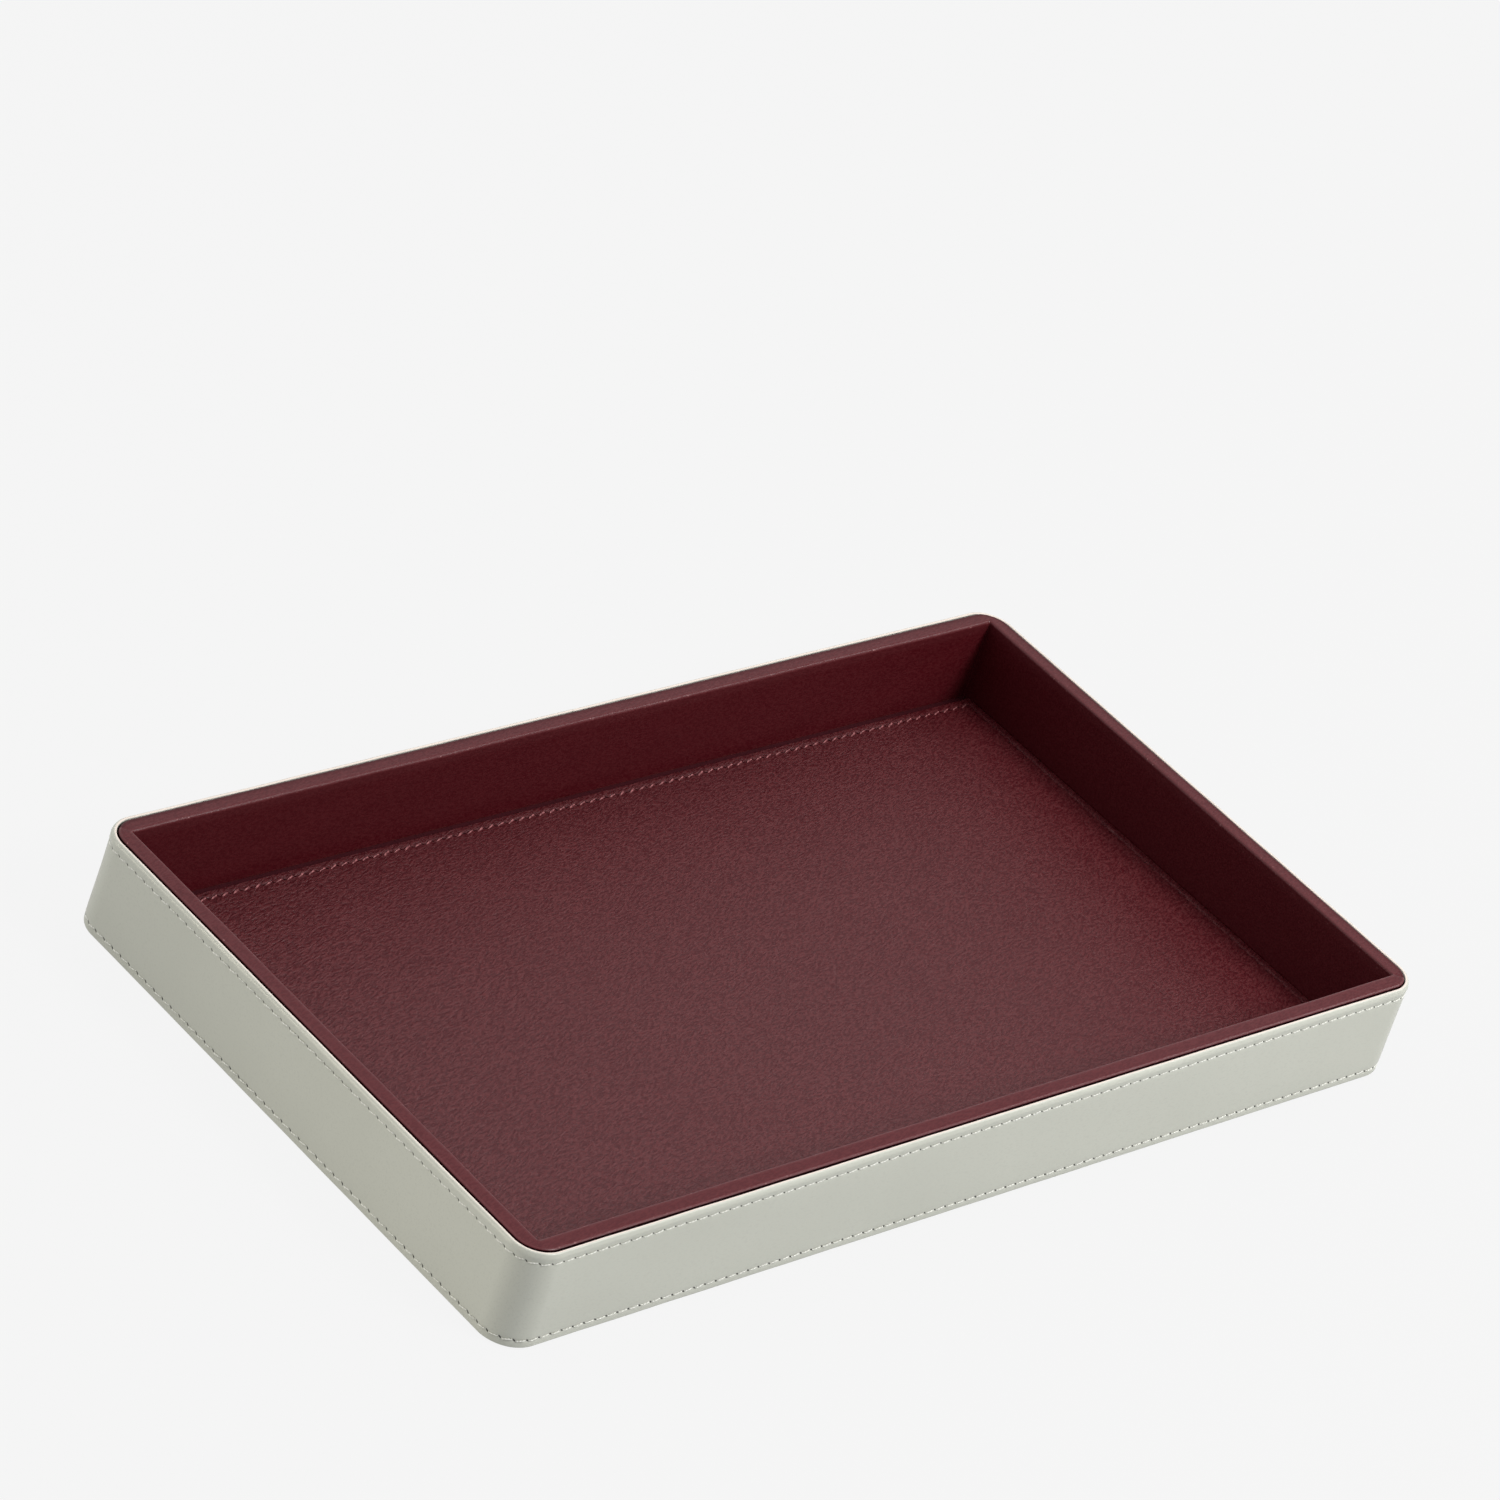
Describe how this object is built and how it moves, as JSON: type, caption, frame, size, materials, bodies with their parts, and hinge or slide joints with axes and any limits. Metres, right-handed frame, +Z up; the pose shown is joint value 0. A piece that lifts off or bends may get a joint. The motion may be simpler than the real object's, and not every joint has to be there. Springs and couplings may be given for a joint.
{
  "type": "valet tray",
  "caption": "Low rectangular valet tray: sewn bone leather band round the outside, burgundy leather lining, flat rim and stitched floor.",
  "frame": {"origin": "middle of the underside, on the surface that the tray stands on", "axes": "+X along the long side to the right, +Y to the back, +Z up"},
  "size_m": [0.3006, 0.1704, 0.0279],
  "materials": {
    "bone_leather": "smooth satin, fine grain",
    "burgundy_leather": "fine pebble grain, satin",
    "bone_thread": "matte twisted thread",
    "burgundy_thread": "matte twisted thread",
    "fibreboard": "raw board",
    "card": "matte dyed card",
    "bonded_fibre": "raw bonded fibre",
    "suede": "matte nap"
  },
  "bodies": {
    "root": {"underside_cover": "suede", "base_board": "fibreboard", "floor_card": "card", "floor_leather": "burgundy_leather", "outer_band": "bone_leather", "band_stiffener": "bonded_fibre", "band_top_stitching": "bone_thread", "band_bottom_stitching": "bone_thread", "floor_stitching": "burgundy_thread", "front_wall_board": "fibreboard", "front_wall_lining": "burgundy_leather", "back_wall_board": "fibreboard", "back_wall_lining": "burgundy_leather", "left_wall_board": "fibreboard", "left_wall_lining": "burgundy_leather", "right_wall_board": "fibreboard", "right_wall_lining": "burgundy_leather"}
  },
  "joints": []
}
